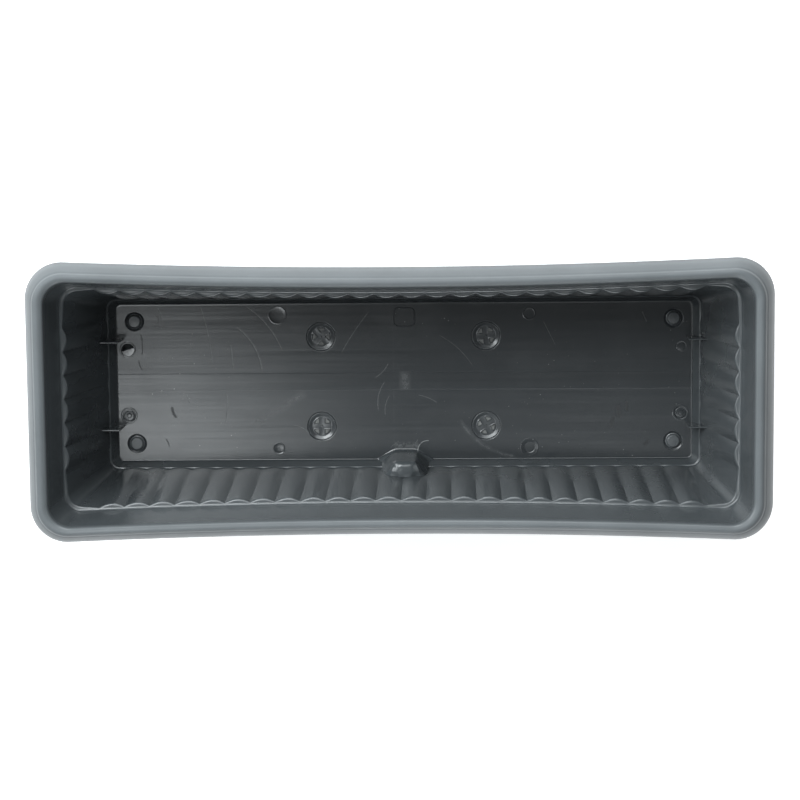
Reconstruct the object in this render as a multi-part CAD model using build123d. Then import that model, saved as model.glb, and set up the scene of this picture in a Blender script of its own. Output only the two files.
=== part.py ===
from build123d import *
import math
import os

# A self-watering window-box planter: a moulded planter box stands in a water tray. Four push pins
# hold the two together, and four sieve plugs with bonded-fibre wick rods bring water up to the soil.
# Millimetres, +Z up, +X along the planter, front at -Y, origin on the ground under the middle.

WALL = 2.2                     # moulded wall of the box and of the tray
FLOOR_THICKNESS = 2.4
FLOOR_Z = 30.0                 # top of the box's floor above the ground
UNDERSIDE_Z = FLOOR_Z - FLOOR_THICKNESS
CUT_PAST = 1.0                 # how far a cutting block runs past the face that it opens

# Inner surface of the box, as (half length, half width, inward bow of the long sides, corner radius)
FLOOR_EDGE = (248.3, 68.4, 0.0, 5.0)
PLINTH_TOP = (254.0, 73.3, 0.0, 8.0)
BAND_BOTTOM = (276.5, 92.2, 5.8, 15.0)
MOUTH = (283.0, 96.9, 5.8, 19.0)
PLINTH_HEIGHT = 12.2           # all heights here are above the floor
LEDGE_HEIGHT = 118.5
BAND_TOP_HEIGHT = 157.0        # where the band's outside meets the rim
MOUTH_HEIGHT = 163.0
MOUTH_FLARE = 1.6              # the mouth widens by this much up to the rim's top
RIM_TOP_HEIGHT = 165.0
LEDGE_SKIN = 2.3               # thickness of the ledge itself

# Fluted part of the wall: shallow arcs that bulge inwards, with sharp ridges pointing outwards
SIDE_FLUTES = 24
END_FLUTES = 6
SIDE_PITCH_TOP = 20.65
SIDE_PITCH_BOTTOM = 20.3
END_PITCH_TOP = 19.5
END_PITCH_BOTTOM = 19.2
FLUTE_DEPTH_TOP = 3.2
FLUTE_DEPTH_BOTTOM = 0.8
RIDGE_OUTSET = 0.3             # ridge line outside the plinth's line, at the plinth
RIDGE_INSET = 2.0              # ridge line inside the band's line, at the ledge
CORNER_INSET = 3.6             # plain corner inside the band's line, at the ledge

# Rim, as (outward from the mouth's edge, height above the floor)
RIM_ROLL = [(9.4, 156.0), (9.2, 160.8), (8.0, 163.4), (6.0, 164.8), (3.4, RIM_TOP_HEIGHT)]
SKIRT = [(16.4, 140.0), (17.0, 142.0), (14.6, 149.5), (11.6, 157.2), (9.3, 158.6)]
SKIRT_UNDERCUT = [(14.6, 139.0), (12.4, 149.0), (9.4, 156.2)]
RIM_CORNER_GROWTH = 0.7        # the corner radius grows by this share of the outward distance

# Pieces in the box's floor
PIN_X, PIN_Y = 232.0, 53.1
DRAIN_X, DRAIN_Y = 238.3, 28.6
PLUG_X, PLUG_Y = 71.0, 38.9
DIMPLE_X, DIMPLE_Y = 108.3, 60.0
CORNERS = {"back_left": (-1, 1), "back_right": (1, 1), "front_left": (-1, -1), "front_right": (1, -1)}

WELL_RADIUS = 8.2
WELL_BOTTOM_Z = 27.2
BOSS_RADIUS = 9.8
BOSS_BOTTOM_Z = 23.6
PIN_FLANGE_RADIUS = 7.7
PIN_FLANGE_THICKNESS = 1.2
PIN_HEAD_RADIUS = 5.0
PIN_HEAD_TOP_Z = 32.0
PIN_HEAD_ROUNDING = 0.6
PIN_SHANK_RADIUS = 3.5
PIN_BOTTOM_Z = 7.0
PIN_SPLIT_WIDTH = 1.2
PIN_SPLIT_TOP_Z = 19.0
PIN_TIP_CHAMFER = 0.8
PUSH_FIT_CLEARANCE = 0.06

PLUG_FLANGE_RADIUS = 12.0
PLUG_FLANGE_THICKNESS = 1.2
PLUG_SEAT_Z = 28.6
PLUG_SEAT_RADIUS = 12.3
PLUG_TUBE_RADIUS = 9.0
PLUG_TUBE_BORE = 7.6
PLUG_TUBE_BOTTOM_Z = 20.0
PLUG_HOLE_CLEARANCE = 0.1
SLOT_RADIUS = 7.4
SLOT_BAR_WIDTH = 3.2
PLUG_TURNS = {"back_left": 45, "back_right": 8, "front_left": 0, "front_right": 30}
WICK_RADIUS = 7.5
WICK_TAIL_RADIUS = 4.5
WICK_TOP_Z = 28.4
WICK_STEP_Z = 21.0
WICK_BOTTOM_Z = 3.4

DRAIN_RADIUS = 5.4
DRAIN_GROOVE_WIDTH = 0.9
DRAIN_GROOVE_DEPTH = 1.0
DRAIN_WEB = 1.0                # what is left of the broken knock-out
DRAIN_TEAR_ANGLE = 17.0
DIMPLE_RADIUS = 5.0
DIMPLE_DEPTH = 0.4

STACKING_FIN_Y = 37.6
STACKING_FIN_X = 242.5
STACKING_FIN_THICKNESS = 1.5
STACKING_FIN_HEIGHT = 30.0
STACKING_FIN_REACH = 7.5       # past the plinth's line, into the end wall

# Filling hood: a tapered half-dome inside the front wall, open outwards and downwards
HOOD_Y = -77.5
HOOD_BASE_RADIUS = 19.2
HOOD_TOP_RADIUS = 11.0
HOOD_HEIGHT = 48.0

# Water tray, as the box's levels above
TRAY_HEIGHT = 40.0
TRAY_BASE = 2.2
TRAY_BOTTOM_OUTER = (250.2, 69.7, 0.0, 12.0)
TRAY_TOP_OUTER = (259.2, 78.7, 0.0, 14.0)
TRAY_LIP_WIDTH = 1.6
TRAY_LIP_FOOT = 1.0            # width of the lip at its lower edge
TRAY_LIP_HEIGHT = 2.4
TRAY_POST_RADIUS = 7.0
SUPPORT_XS = (-150.0, 0.0, 150.0)
SUPPORT_LENGTH = 36.0
SUPPORT_THICKNESS = 2.4
PIN_BORE_BOTTOM_Z = 5.0
OVERFLOW_RADIUS = 3.0
OVERFLOW_Y = 30.0
OVERFLOW_Z = 22.0
SPOUT_Y = -69.0
SPOUT_RADIUS = 18.0
SPOUT_WALL = 2.0
SPOUT_TOP_Z = 50.0
SPOUT_LIP_Y = -79.6            # above the tray's rim, only what lies in front of this is kept


def grown(level, amount, corner_growth=1.0):
    """The same outline, moved outwards by amount."""
    half_length, half_width, bow, radius = level
    return (half_length + amount, half_width + amount, bow, radius + amount * corner_growth)


def blended(low, high, share):
    """The outline that lies a share of the way from the low one to the high one."""
    return tuple(a + (b - a) * share for a, b in zip(low, high))


def bowed(x, half_length, half_width, bow):
    """Half width of a long side at x, drawn in by bow at mid length."""
    return half_width - bow * (1 - (x / half_length) ** 2)


def quarter_corner(centre_x, centre_y, radius, start_angle):
    """Quarter circle, counter-clockwise from start_angle."""
    def point(angle):
        turn = math.radians(angle)
        return (centre_x + radius * math.cos(turn), centre_y + radius * math.sin(turn))
    return ThreePointArc(point(start_angle), point(start_angle + 45), point(start_angle + 90))


def long_side(start, end, bow):
    """One long side: straight, or an arc whose middle is moved along Y by bow."""
    if bow == 0:
        return Line(start, end)
    return ThreePointArc(start, (0, start[1] + bow), end)


def plain_face(level, z):
    """Rounded rectangle whose long sides are drawn in at mid length."""
    half_length, half_width, bow, radius = level
    x, y = half_length - radius, half_width - radius
    edges = [
        long_side((-x, -half_width), (x, -half_width), bow),
        quarter_corner(x, -y, radius, -90),
        Line((half_length, -y), (half_length, y)),
        quarter_corner(x, y, radius, 0),
        long_side((x, half_width), (-x, half_width), -bow),
        quarter_corner(-x, y, radius, 90),
        Line((-half_length, y), (-half_length, -y)),
        quarter_corner(-x, -y, radius, 180),
    ]
    return make_face(edges).moved(Location((0, 0, z)))


def flute_arcs(count, pitch, ridge_point, depth):
    """A row of arcs between ridge points; ridge_point(s, inwards) places a point along the side."""
    start = -pitch * count / 2
    arcs = []
    for i in range(count):
        left, right = start + pitch * i, start + pitch * (i + 1)
        arcs.append(ThreePointArc(ridge_point(left, 0), ridge_point((left + right) / 2, depth),
                                  ridge_point(right, 0)))
    return arcs


def fluted_face(level, corner_inset, depth, side_pitch, end_pitch, z):
    """Outline with flutes on its four sides; level is the line through the ridges."""
    half_length, half_width, bow, radius = level
    corner_length, corner_width = half_length - corner_inset, half_width - corner_inset
    x, y = corner_length - radius, corner_width - radius

    def front(s, inwards):
        return (s, inwards - bowed(s, half_length, half_width, bow))

    def right(s, inwards):
        return (half_length - inwards, s)

    def back(s, inwards):
        return (-s, bowed(s, half_length, half_width, bow) - inwards)

    def left(s, inwards):
        return (inwards - half_length, -s)

    side_end = side_pitch * SIDE_FLUTES / 2
    end_end = end_pitch * END_FLUTES / 2
    edges = [Line((-x, -corner_width), front(-side_end, 0))]
    edges += flute_arcs(SIDE_FLUTES, side_pitch, front, depth)
    edges += [Line(front(side_end, 0), (x, -corner_width)), quarter_corner(x, -y, radius, -90),
              Line((corner_length, -y), right(-end_end, 0))]
    edges += flute_arcs(END_FLUTES, end_pitch, right, depth)
    edges += [Line(right(end_end, 0), (corner_length, y)), quarter_corner(x, y, radius, 0),
              Line((x, corner_width), back(-side_end, 0))]
    edges += flute_arcs(SIDE_FLUTES, side_pitch, back, depth)
    edges += [Line(back(side_end, 0), (-x, corner_width)), quarter_corner(-x, y, radius, 90),
              Line((-corner_length, y), left(-end_end, 0))]
    edges += flute_arcs(END_FLUTES, end_pitch, left, depth)
    edges += [Line(left(end_end, 0), (-corner_length, -y)), quarter_corner(-x, -y, radius, 180)]
    return make_face(edges).moved(Location((0, 0, z)))


def frustum(low, low_z, high, high_z):
    """Solid between two plain outlines."""
    return loft([plain_face(low, low_z), plain_face(high, high_z)], ruled=True)


def fluted_block(outwards, low_z, high_z):
    """Fluted part of the wall as a solid block, moved outwards by a wall thickness or by nothing."""
    bottom = grown(PLINTH_TOP, outwards + RIDGE_OUTSET)
    top = grown(BAND_BOTTOM, outwards - RIDGE_INSET)
    low = fluted_face(bottom, RIDGE_OUTSET, FLUTE_DEPTH_BOTTOM, SIDE_PITCH_BOTTOM, END_PITCH_BOTTOM, low_z)
    high = fluted_face(top, CORNER_INSET - RIDGE_INSET, FLUTE_DEPTH_TOP, SIDE_PITCH_TOP,
                       END_PITCH_TOP, high_z)
    return loft([low, high], ruled=True)


def rim_stack(profile):
    """Stack of thin frustums that follows a rim profile, from its lowest point up."""
    levels = [(grown(MOUTH, out, RIM_CORNER_GROWTH), FLOOR_Z + height) for out, height in profile]
    solids = [frustum(low, low_z, high, high_z)
              for (low, low_z), (high, high_z) in zip(levels, levels[1:])]
    return solids[0] + solids[1:]


def vertical_cylinder(radius, x, y, low_z, high_z):
    """Upright cylinder between two heights."""
    return Pos(x, y, (low_z + high_z) / 2) * Cylinder(radius, high_z - low_z)


def hood_cone(shrink, low_z, high_z):
    """The filling hood's cone, made smaller by shrink, between two heights."""
    taper = (HOOD_BASE_RADIUS - HOOD_TOP_RADIUS) / HOOD_HEIGHT
    low_radius = HOOD_BASE_RADIUS - (low_z - FLOOR_Z) * taper - shrink
    high_radius = HOOD_BASE_RADIUS - (high_z - FLOOR_Z) * taper - shrink
    return Pos(0, HOOD_Y, (low_z + high_z) / 2) * Cone(low_radius, high_radius, high_z - low_z)


def box_outside():
    """The planter box as a solid block, with its skirt but without its cavity."""
    plinth_top_z = FLOOR_Z + PLINTH_HEIGHT
    ledge_z = FLOOR_Z + LEDGE_HEIGHT - LEDGE_SKIN
    share = -FLOOR_THICKNESS / PLINTH_HEIGHT
    underside = blended(FLOOR_EDGE, PLINTH_TOP, share)[:3] + (FLOOR_EDGE[3],)
    plinth = frustum(grown(underside, WALL), UNDERSIDE_Z, grown(PLINTH_TOP, WALL), plinth_top_z)
    fluted = fluted_block(WALL, plinth_top_z, ledge_z)
    band = frustum(grown(BAND_BOTTOM, WALL), ledge_z, grown(MOUTH, WALL), FLOOR_Z + BAND_TOP_HEIGHT)
    skirt = rim_stack(SKIRT) - rim_stack(SKIRT_UNDERCUT)
    return plinth + fluted + band + skirt + rim_stack(RIM_ROLL)


def box_cavity():
    """The space for the soil."""
    plinth_top_z = FLOOR_Z + PLINTH_HEIGHT
    ledge_z = FLOOR_Z + LEDGE_HEIGHT
    mouth_z = FLOOR_Z + MOUTH_HEIGHT
    plinth = frustum(FLOOR_EDGE, FLOOR_Z, PLINTH_TOP, plinth_top_z)
    fluted = fluted_block(0, plinth_top_z, ledge_z)
    band = frustum(BAND_BOTTOM, ledge_z, MOUTH, mouth_z)
    mouth = frustum(MOUTH, mouth_z, grown(MOUTH, MOUTH_FLARE), FLOOR_Z + RIM_TOP_HEIGHT)
    return plinth + fluted + band + mouth


def closed_drain(sign_x, sign_y):
    """Ring groove round a knock-out that is still closed."""
    x, y = sign_x * DRAIN_X, sign_y * DRAIN_Y
    outer = vertical_cylinder(DRAIN_RADIUS, x, y, FLOOR_Z - DRAIN_GROOVE_DEPTH, FLOOR_Z + CUT_PAST)
    knock_out = vertical_cylinder(DRAIN_RADIUS - DRAIN_GROOVE_WIDTH, x, y,
                                  UNDERSIDE_Z, FLOOR_Z + 2 * CUT_PAST)
    return outer - knock_out


def open_drain(sign_x, sign_y):
    """Knock-out that is broken open on the back half; a thin web is left on the front half."""
    x, y = sign_x * DRAIN_X, sign_y * DRAIN_Y
    hole = vertical_cylinder(DRAIN_RADIUS, x, y, UNDERSIDE_Z - CUT_PAST, FLOOR_Z + CUT_PAST)
    web_block = Pos(0, -DRAIN_RADIUS, 0) * Box(4 * DRAIN_RADIUS, 2 * DRAIN_RADIUS, DRAIN_WEB)
    web = Pos(x, y, UNDERSIDE_Z + DRAIN_WEB / 2) * Rot(0, 0, DRAIN_TEAR_ANGLE) * web_block
    return hole - web


def floor_cuts():
    """Wells, seats, holes and marks in the floor of the box."""
    cuts = []
    for sign_x, sign_y in CORNERS.values():
        pin_x, pin_y = sign_x * PIN_X, sign_y * PIN_Y
        plug_x, plug_y = sign_x * PLUG_X, sign_y * PLUG_Y
        pin_hole = PIN_SHANK_RADIUS + PUSH_FIT_CLEARANCE
        plug_hole = PLUG_TUBE_RADIUS + PLUG_HOLE_CLEARANCE
        cuts.append(vertical_cylinder(WELL_RADIUS, pin_x, pin_y, WELL_BOTTOM_Z, FLOOR_Z + CUT_PAST))
        cuts.append(vertical_cylinder(pin_hole, pin_x, pin_y, BOSS_BOTTOM_Z - CUT_PAST, FLOOR_Z))
        cuts.append(vertical_cylinder(PLUG_SEAT_RADIUS, plug_x, plug_y, PLUG_SEAT_Z, FLOOR_Z + CUT_PAST))
        cuts.append(vertical_cylinder(plug_hole, plug_x, plug_y, UNDERSIDE_Z - CUT_PAST, FLOOR_Z))
        cuts.append(vertical_cylinder(DIMPLE_RADIUS, sign_x * DIMPLE_X, sign_y * DIMPLE_Y,
                                      FLOOR_Z - DIMPLE_DEPTH, FLOOR_Z + CUT_PAST))
        is_broken = (sign_x, sign_y) == CORNERS["back_left"]
        cuts.append(open_drain(sign_x, sign_y) if is_broken else closed_drain(sign_x, sign_y))
    return cuts


def stacking_fins():
    """Four thin upright fins in the end corners of the floor, which keep nested boxes apart."""
    outer_x = PLINTH_TOP[0] + STACKING_FIN_REACH
    length = outer_x - STACKING_FIN_X
    fins = []
    for sign_x, sign_y in CORNERS.values():
        centre_x = sign_x * (STACKING_FIN_X + length / 2)
        place = Pos(centre_x, sign_y * STACKING_FIN_Y, FLOOR_Z + STACKING_FIN_HEIGHT / 2)
        fins.append(place * Box(length, STACKING_FIN_THICKNESS, STACKING_FIN_HEIGHT))
    return fins


def planter_box():
    """One-piece moulding: floor, plinth, fluted walls, ledge, smooth band, rim, fins and hood."""
    outside = box_outside()
    hood_top_z = FLOOR_Z + HOOD_HEIGHT
    hood = hood_cone(0, UNDERSIDE_Z, hood_top_z)
    pocket = hood_cone(WALL, UNDERSIDE_Z - CUT_PAST, hood_top_z - WALL)
    fins = [outside & fin for fin in stacking_fins()]
    box = outside - (box_cavity() - hood) + fins
    bosses = [vertical_cylinder(BOSS_RADIUS, x * PIN_X, y * PIN_Y, BOSS_BOTTOM_Z, UNDERSIDE_Z + CUT_PAST)
              for x, y in CORNERS.values()]
    return box + bosses - pocket - floor_cuts()


def water_tray():
    """Tray that holds the water: posts for the pins, crossed supports, overflows and a filling spout."""
    outside = frustum(TRAY_BOTTOM_OUTER, 0, TRAY_TOP_OUTER, TRAY_HEIGHT)
    lip = frustum(grown(TRAY_TOP_OUTER, TRAY_LIP_FOOT), TRAY_HEIGHT - TRAY_LIP_HEIGHT,
                  grown(TRAY_TOP_OUTER, TRAY_LIP_WIDTH), TRAY_HEIGHT)
    spout_depth = SPOUT_RADIUS * 2
    spout = vertical_cylinder(SPOUT_RADIUS, 0, SPOUT_Y, 0, SPOUT_TOP_Z)
    spout_rise = SPOUT_TOP_Z - TRAY_HEIGHT
    behind_lip = Pos(0, SPOUT_LIP_Y + spout_depth / 2, SPOUT_TOP_Z) * Box(
        4 * SPOUT_RADIUS, spout_depth, 2 * spout_rise)
    spout_bore = vertical_cylinder(SPOUT_RADIUS - SPOUT_WALL, 0, SPOUT_Y, TRAY_BASE,
                                   SPOUT_TOP_Z + CUT_PAST)
    share = TRAY_BASE / TRAY_HEIGHT
    inner_bottom = grown(blended(TRAY_BOTTOM_OUTER, TRAY_TOP_OUTER, share), -WALL)
    cavity = frustum(inner_bottom, TRAY_BASE, grown(TRAY_TOP_OUTER, -WALL), TRAY_HEIGHT)
    tray = outside + lip + (spout - behind_lip) - cavity - spout_bore

    for sign_x, sign_y in CORNERS.values():
        x, y = sign_x * PIN_X, sign_y * PIN_Y
        bore = vertical_cylinder(PIN_SHANK_RADIUS + PUSH_FIT_CLEARANCE, x, y, PIN_BORE_BOTTOM_Z,
                                 BOSS_BOTTOM_Z + CUT_PAST)
        tray += vertical_cylinder(TRAY_POST_RADIUS, x, y, TRAY_BASE / 2, BOSS_BOTTOM_Z)
        tray -= bore
    support_height = UNDERSIDE_Z - TRAY_BASE / 2
    for x in SUPPORT_XS:
        place = Pos(x, 0, TRAY_BASE / 2 + support_height / 2)
        tray += place * Box(SUPPORT_LENGTH, SUPPORT_THICKNESS, support_height)
        tray += place * Box(SUPPORT_THICKNESS, SUPPORT_LENGTH, support_height)
    overflow_length = 2 * (grown(TRAY_TOP_OUTER, TRAY_LIP_WIDTH)[0] + CUT_PAST)
    overflow = Pos(0, OVERFLOW_Y, OVERFLOW_Z) * Rot(0, 90, 0) * Cylinder(OVERFLOW_RADIUS, overflow_length)
    return tray - overflow


def locking_pin():
    """Push pin: head, flange in the well, and a split shank that grips the tray's post."""
    flange_top = WELL_BOTTOM_Z + PIN_FLANGE_THICKNESS
    head = vertical_cylinder(PIN_HEAD_RADIUS, 0, 0, flange_top, PIN_HEAD_TOP_Z)
    head = fillet(head.edges().sort_by(Axis.Z)[-1], PIN_HEAD_ROUNDING)
    flange = vertical_cylinder(PIN_FLANGE_RADIUS, 0, 0, WELL_BOTTOM_Z, flange_top)
    shank = vertical_cylinder(PIN_SHANK_RADIUS, 0, 0, PIN_BOTTOM_Z, WELL_BOTTOM_Z)
    shank = chamfer(shank.edges().sort_by(Axis.Z)[0], PIN_TIP_CHAMFER)
    split_height = PIN_SPLIT_TOP_Z - PIN_BOTTOM_Z
    split = Pos(0, 0, PIN_BOTTOM_Z + split_height / 2) * Box(
        PIN_SPLIT_WIDTH, 4 * PIN_SHANK_RADIUS, split_height)
    return head + flange + shank - split


def wick_plug():
    """Sieve plug: a flange with four quarter-round slots round a cross, and a tube below it."""
    flange_top = PLUG_SEAT_Z + PLUG_FLANGE_THICKNESS
    flange = vertical_cylinder(PLUG_FLANGE_RADIUS, 0, 0, PLUG_SEAT_Z, flange_top)
    tube = vertical_cylinder(PLUG_TUBE_RADIUS, 0, 0, PLUG_TUBE_BOTTOM_Z, PLUG_SEAT_Z)
    bore = vertical_cylinder(PLUG_TUBE_BORE, 0, 0, PLUG_TUBE_BOTTOM_Z, PLUG_SEAT_Z)
    slots = vertical_cylinder(SLOT_RADIUS, 0, 0, PLUG_SEAT_Z - CUT_PAST, flange_top + CUT_PAST)
    cross_height = PLUG_SEAT_Z + PLUG_FLANGE_THICKNESS / 2
    bar = Box(4 * SLOT_RADIUS, SLOT_BAR_WIDTH, 4 * PLUG_FLANGE_THICKNESS)
    cross = Pos(0, 0, cross_height) * (bar + Rot(0, 0, 90) * bar)
    return flange + (tube - bore) - (slots - cross)


def wick_rod():
    """Bonded-fibre rod: a wide top under the plug's slots and a tail down into the water."""
    top = vertical_cylinder(WICK_RADIUS, 0, 0, WICK_STEP_Z, WICK_TOP_Z)
    tail = vertical_cylinder(WICK_TAIL_RADIUS, 0, 0, WICK_BOTTOM_Z, WICK_STEP_Z)
    return top + tail


def write(shape, node):
    """Write one node as a STEP file."""
    export_step(shape, f"parts/{node}.step")


def main():
    os.makedirs("parts", exist_ok=True)
    write(planter_box(), "planter_box")
    write(water_tray(), "water_tray")
    for corner, (sign_x, sign_y) in CORNERS.items():
        at_pin = Pos(sign_x * PIN_X, sign_y * PIN_Y, 0)
        at_plug = Pos(sign_x * PLUG_X, sign_y * PLUG_Y, 0) * Rot(0, 0, PLUG_TURNS[corner])
        write(at_pin * locking_pin(), f"locking_pin_{corner}")
        write(at_plug * wick_plug(), f"wick_plug_{corner}")
        write(at_plug * wick_rod(), f"wick_rod_{corner}")


main()
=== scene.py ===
import math

import bmesh
import bpy
import numpy as np
from mathutils import Matrix, Vector
from mathutils.geometry import delaunay_2d_cdt


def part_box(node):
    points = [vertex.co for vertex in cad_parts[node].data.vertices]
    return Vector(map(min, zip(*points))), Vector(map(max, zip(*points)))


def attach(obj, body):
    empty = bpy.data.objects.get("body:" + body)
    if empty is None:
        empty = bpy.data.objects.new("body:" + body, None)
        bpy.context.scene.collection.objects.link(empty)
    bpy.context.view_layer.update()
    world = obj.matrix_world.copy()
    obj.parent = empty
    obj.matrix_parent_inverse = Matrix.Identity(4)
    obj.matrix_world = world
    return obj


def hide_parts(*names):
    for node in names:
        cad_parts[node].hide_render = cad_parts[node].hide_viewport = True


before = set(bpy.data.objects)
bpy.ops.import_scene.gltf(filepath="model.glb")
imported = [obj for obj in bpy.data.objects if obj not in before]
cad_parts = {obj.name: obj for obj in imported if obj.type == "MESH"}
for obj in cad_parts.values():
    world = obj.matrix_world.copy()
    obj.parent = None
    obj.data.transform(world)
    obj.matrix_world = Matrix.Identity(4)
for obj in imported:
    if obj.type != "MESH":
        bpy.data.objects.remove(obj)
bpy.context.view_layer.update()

# A self-watering window box. Shapes are worked out in millimetres, with heights counted from the
# top of the box's floor, and become metres in the shared frame when a mesh is made.

MM = 0.001
RIM_TOP = 165.0
FLOOR_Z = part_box("planter_box")[1].z / MM - RIM_TOP
FLOOR_THICKNESS = 2.4
CORNERS = ("back_left", "back_right", "front_left", "front_right")


def node_centre(node):
    """Middle of a CAD node in plan, in millimetres."""
    low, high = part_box(node)
    return (low.x + high.x) / 2 / MM, (low.y + high.y) / 2 / MM


# ---------------------------------------------------------------- meshes

def make_object(name, vertices, faces, smooth_angle=35.0):
    """Mesh object from points in millimetres above the box's floor."""
    points = np.asarray(vertices, float) * MM
    points[:, 2] += FLOOR_Z * MM
    mesh = bpy.data.meshes.new(name)
    mesh.from_pydata(points.tolist(), [], [tuple(face) for face in faces])
    mesh.validate()
    made = bpy.data.objects.new(name, mesh)
    bpy.context.scene.collection.objects.link(made)
    tidy_normals(made, smooth_angle)
    return made


def tidy_normals(made, smooth_angle):
    """Outward faces, smooth except across sharp edges, with large flat faces kept flat."""
    work = bmesh.new()
    work.from_mesh(made.data)
    bmesh.ops.remove_doubles(work, verts=work.verts, dist=1e-7)
    bmesh.ops.recalc_face_normals(work, faces=work.faces)
    limit = math.radians(smooth_angle)
    for edge in work.edges:
        edge.smooth = len(edge.link_faces) != 2 or edge.calc_face_angle(0.0) < limit
    for face in work.faces:
        face.smooth = True
    work.to_mesh(made.data)
    work.free()
    modifier = made.modifiers.new("weighted", "WEIGHTED_NORMAL")
    modifier.keep_sharp = True
    modifier.weight = 80
    apply_modifiers(made)


def apply_modifiers(made):
    """Turn an object's modifiers into mesh."""
    bpy.context.view_layer.update()
    shaped = bpy.data.meshes.new_from_object(made.evaluated_get(bpy.context.evaluated_depsgraph_get()))
    made.modifiers.clear()
    old = made.data
    made.data = shaped
    bpy.data.meshes.remove(old)


def boolean(target, cutter, operation, smooth_angle=35.0):
    """Join or cut target with cutter, and remove the cutter."""
    modifier = target.modifiers.new("cut", "BOOLEAN")
    modifier.operation = operation
    modifier.solver = "EXACT"
    modifier.object = cutter
    apply_modifiers(target)
    bpy.data.objects.remove(cutter)
    tidy_normals(target, smooth_angle)


def merged(parts):
    """One list of points and one of faces from several."""
    points, faces = [], []
    for part_points, part_faces in parts:
        base = len(points)
        points += [tuple(point) for point in part_points]
        faces += [[base + i for i in face] for face in part_faces]
    return points, faces


def circle(radius, x, y, z, count=40):
    """Points round a circle."""
    turns = [2 * math.pi * i / count for i in range(count)]
    return [(x + radius * math.cos(a), y + radius * math.sin(a), z) for a in turns]


def band_faces(rows, count):
    """Quads between neighbouring closed rows of points."""
    faces = []
    for row in range(rows - 1):
        for i in range(count):
            a, b = row * count + i, row * count + (i + 1) % count
            faces.append((a, b, b + count, a + count))
    return faces


def end_faces(rows, count):
    """The two faces that close a stack of rows."""
    return [list(range(count))[::-1], [(rows - 1) * count + i for i in range(count)]]


def revolved(profile, x, y, count=48):
    """Closed solid of revolution; profile is (radius, height) from the bottom to the top."""
    points = []
    for radius, z in profile:
        points += circle(radius, x, y, z, count)
    return points, band_faces(len(profile), count) + end_faces(len(profile), count)


def block(low, high):
    """Plain box between two corners."""
    points = [(x, y, z) for z in (low[2], high[2])
              for x, y in ((low[0], low[1]), (high[0], low[1]), (high[0], high[1]), (low[0], high[1]))]
    return points, [(0, 1, 2, 3), (4, 5, 6, 7)] + band_faces(2, 4)


def softened(profile, reach, steps=3):
    """The same open profile with each inner corner rounded; reach is one number or one per corner."""
    rounded = [profile[0]]
    for i in range(1, len(profile) - 1):
        before, corner, after = (np.array(profile[i + k], float) for k in (-1, 0, 1))
        size = reach[i - 1] if hasattr(reach, "__len__") else reach
        rounded += corner_curve(before, corner, after, size, steps, np.linalg.norm)
    return rounded + [profile[-1]]


def corner_curve(before, corner, after, reach, steps, length):
    """Points of a short curve in place of a corner."""
    if reach == 0:
        return [corner]
    start = corner + (before - corner) * min(reach / length(before - corner), 0.48)
    end = corner + (after - corner) * min(reach / length(after - corner), 0.48)
    shares = [i / steps for i in range(steps + 1)]
    return [(1 - t) ** 2 * start + 2 * t * (1 - t) * corner + t * t * end for t in shares]


# ---------------------------------------------------------------- outlines

SIDE_FLUTES = 24
END_FLUTES = 6
FLUTE_STEPS = 8
PLAIN_STEPS = 4
CORNER_STEPS = 12
LONGEST_SPAN = 18.0


def station(length, width, z, bow=0.0, radius=5.0, ridge=0.0, depth=0.0, side_run=247.8, end_run=58.5):
    """Outline at one height: half sizes, inward bow, corner radius, and how its flutes stand.
    ridge is how far the flutes' ridges stand outside the plain corner line, depth how deep they are,
    and the runs are half the lengths that the flutes take up."""
    return np.array([length, width, z, bow, radius, ridge, depth, side_run, end_run], float)


def span(difference):
    """Distance between two stations, by half length and height."""
    return math.hypot(difference[0], difference[2])


def rounded_stations(path, steps=3):
    """Stations along a path of (station, rounding), with long spans divided."""
    stations = [path[0][0]]
    for (before, _), (corner, reach), (after, _) in zip(path, path[1:], path[2:]):
        stations += corner_curve(before, corner, after, reach, steps, span)
    stations.append(path[-1][0])
    divided = [stations[0]]
    for low, high in zip(stations, stations[1:]):
        count = max(1, math.ceil(span(high - low) / LONGEST_SPAN))
        divided += [low + (high - low) * (i + 1) / count for i in range(count)]
    return divided


def side_points(half, run, corner_start, ridge, depth, flutes):
    """(distance along the side, distance outwards) for one side, up to its far corner."""
    points = []
    for i in range(PLAIN_STEPS):
        share = i / PLAIN_STEPS
        points.append((-corner_start + (corner_start - run) * share, ridge * share))
    for i in range(flutes * FLUTE_STEPS + 1):
        u = i % FLUTE_STEPS / FLUTE_STEPS
        points.append((-run + 2 * run * i / (flutes * FLUTE_STEPS), ridge - depth * 4 * u * (1 - u)))
    for i in range(1, PLAIN_STEPS):
        share = i / PLAIN_STEPS
        points.append((run + (corner_start - run) * share, ridge * (1 - share)))
    return points


def outline(at):
    """Points round the box at one station, counter-clockwise from the front left corner."""
    length, width, z, bow, radius, ridge, depth, side_run, end_run = at
    x, y = length - radius, width - radius
    long_side = side_points(length, side_run, x, ridge, depth, SIDE_FLUTES)
    short_side = side_points(width, end_run, y, ridge, depth, END_FLUTES)

    def corner(centre_x, centre_y, start):
        turns = [math.radians(start + 90 * i / CORNER_STEPS) for i in range(CORNER_STEPS)]
        return [(centre_x + radius * math.cos(a), centre_y + radius * math.sin(a), z) for a in turns]

    def half_width(s, out):
        return width - bow * (1 - (s / x) ** 2) + out

    points = [(s, -half_width(s, out), z) for s, out in long_side]
    points += corner(x, -y, -90)
    points += [(length + out, s, z) for s, out in short_side]
    points += corner(x, y, 0)
    points += [(-s, half_width(s, out), z) for s, out in long_side]
    points += corner(-x, y, 90)
    points += [(-length - out, -s, z) for s, out in short_side]
    points += corner(-x, -y, 180)
    return points


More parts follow.
